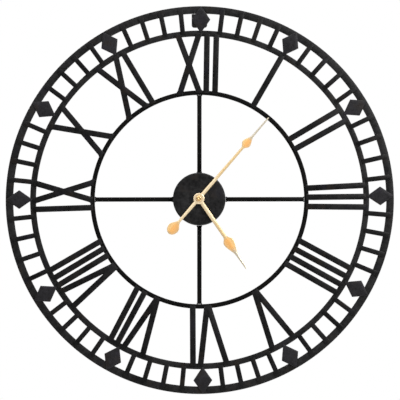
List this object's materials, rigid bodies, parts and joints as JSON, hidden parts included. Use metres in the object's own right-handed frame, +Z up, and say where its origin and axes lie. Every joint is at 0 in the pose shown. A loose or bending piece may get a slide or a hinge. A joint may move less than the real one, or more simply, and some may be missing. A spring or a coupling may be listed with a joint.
{
  "type": "wall clock",
  "caption": "Large round skeleton wall clock with a welded black flat-bar frame, Roman numerals, diamond hour markers, a round hub and gold spade hands.",
  "frame": {"origin": "where the hand axis meets the wall plane, at the middle of the movement cover's flat back", "axes": "+Z up towards 12 o'clock, +X right as seen from the front, +Y into the wall; the dial faces -Y"},
  "size_m": [0.6, 0.0318, 0.6],
  "materials": {
    "black_powder_coat": "matt black powder coat with a fine texture",
    "black_moulding": "moulded, lightly textured",
    "white_moulding": "moulded, satin",
    "brass_fittings": "turned, satin",
    "bright_steel": "turned and stamped",
    "copper_winding": "enamelled wire",
    "green_board": "solder mask",
    "cell_jacket": "printed jacket with no lettering",
    "black_rubber": "matt",
    "pale_gold": "satin gold anodised"
  },
  "bodies": {
    "frame": {"outer_ring": "black_powder_coat", "minute_track": "black_powder_coat", "inner_ring": "black_powder_coat", "numeral_01_bar_1": "black_powder_coat", "numeral_02_bar_1": "black_powder_coat", "numeral_02_bar_2": "black_powder_coat", "numeral_03_bar_1": "black_powder_coat", "numeral_03_bar_2": "black_powder_coat", "numeral_03_bar_3": "black_powder_coat", "numeral_04_bar_1": "black_powder_coat", "numeral_04_bar_2": "black_powder_coat", "numeral_04_bar_3": "black_powder_coat", "numeral_04_bar_4": "black_powder_coat", "numeral_05_vee_1": "black_powder_coat", "numeral_06_bar_2": "black_powder_coat", "numeral_06_vee_1": "black_powder_coat", "numeral_07_bar_2": "black_powder_coat", "numeral_07_bar_3": "black_powder_coat", "numeral_07_vee_1": "black_powder_coat", "numeral_08_bar_2": "black_powder_coat", "numeral_08_bar_3": "black_powder_coat", "numeral_08_bar_4": "black_powder_coat", "numeral_08_vee_1": "black_powder_coat", "numeral_09_bar_1": "black_powder_coat", "numeral_09_cross_2": "black_powder_coat", "numeral_10_cross_1": "black_powder_coat", "numeral_11_bar_2": "black_powder_coat", "numeral_11_cross_1": "black_powder_coat", "numeral_12_bar_2": "black_powder_coat", "numeral_12_bar_3": "black_powder_coat", "numeral_12_cross_1": "black_powder_coat", "spoke_12": "black_powder_coat", "spoke_03": "black_powder_coat", "spoke_06": "black_powder_coat", "spoke_09": "black_powder_coat", "hanger_plate": "black_powder_coat", "hub_cup": "black_powder_coat", "movement_case": "black_moulding", "movement_cover": "black_moulding", "gear_plate": "white_moulding", "centre_bush": "brass_fittings", "rubber_washer": "black_rubber", "brass_washer": "brass_fittings", "fixing_nut": "brass_fittings", "stator": "bright_steel", "coil": "copper_winding", "circuit_board": "green_board", "quartz_crystal": "bright_steel", "contact_positive": "bright_steel", "contact_negative": "bright_steel"},
    "minute_hand": {"minute_hand": "pale_gold", "hand_nut": "pale_gold", "centre_arbor": "bright_steel"},
    "hour_hand": {"hour_hand": "pale_gold", "hour_wheel": "brass_fittings"},
    "minute_wheel": {"minute_wheel": "white_moulding"},
    "setting_knob": {"setting_knob": "white_moulding"},
    "third_wheel": {"third_wheel": "white_moulding"},
    "rotor": {"rotor": "bright_steel"},
    "battery": {"battery": "cell_jacket"}
  },
  "joints": [
    {"name": "minute_hand_spin", "type": "hinge", "parent": "frame", "child": "minute_hand", "pos_m": [0, 0, 0], "axis": [0, 1, 0], "continuous": true},
    {"name": "hour_hand_spin", "type": "hinge", "parent": "frame", "child": "hour_hand", "pos_m": [0, 0, 0], "axis": [0, 1, 0], "continuous": true},
    {"name": "minute_wheel_spin", "type": "hinge", "parent": "frame", "child": "minute_wheel", "pos_m": [0.00983, 0, 0.00688], "axis": [0, 1, 0], "continuous": true},
    {"name": "setting_knob_spin", "type": "hinge", "parent": "frame", "child": "setting_knob", "pos_m": [0.02017, 0, -0.00179], "axis": [0, 1, 0], "continuous": true},
    {"name": "third_wheel_spin", "type": "hinge", "parent": "frame", "child": "third_wheel", "pos_m": [-0.01082, 0, 0.00289], "axis": [0, 1, 0], "continuous": true},
    {"name": "rotor_spin", "type": "hinge", "parent": "frame", "child": "rotor", "pos_m": [-0.013, 0, 0.011], "axis": [0, 1, 0], "continuous": true},
    {"name": "battery_slide", "type": "slide", "parent": "frame", "child": "battery", "axis": [0, 1, 0], "range_m": [0, 0.02]}
  ],
  "couplings": [
    {"joint": "hour_hand_spin", "follows": "minute_hand_spin", "ratio": 0.083333},
    {"joint": "minute_wheel_spin", "follows": "minute_hand_spin", "ratio": -0.33333},
    {"joint": "setting_knob_spin", "follows": "minute_hand_spin", "ratio": 0.66667},
    {"joint": "third_wheel_spin", "follows": "minute_hand_spin", "ratio": -6},
    {"joint": "rotor_spin", "follows": "minute_hand_spin", "ratio": 30}
  ]
}
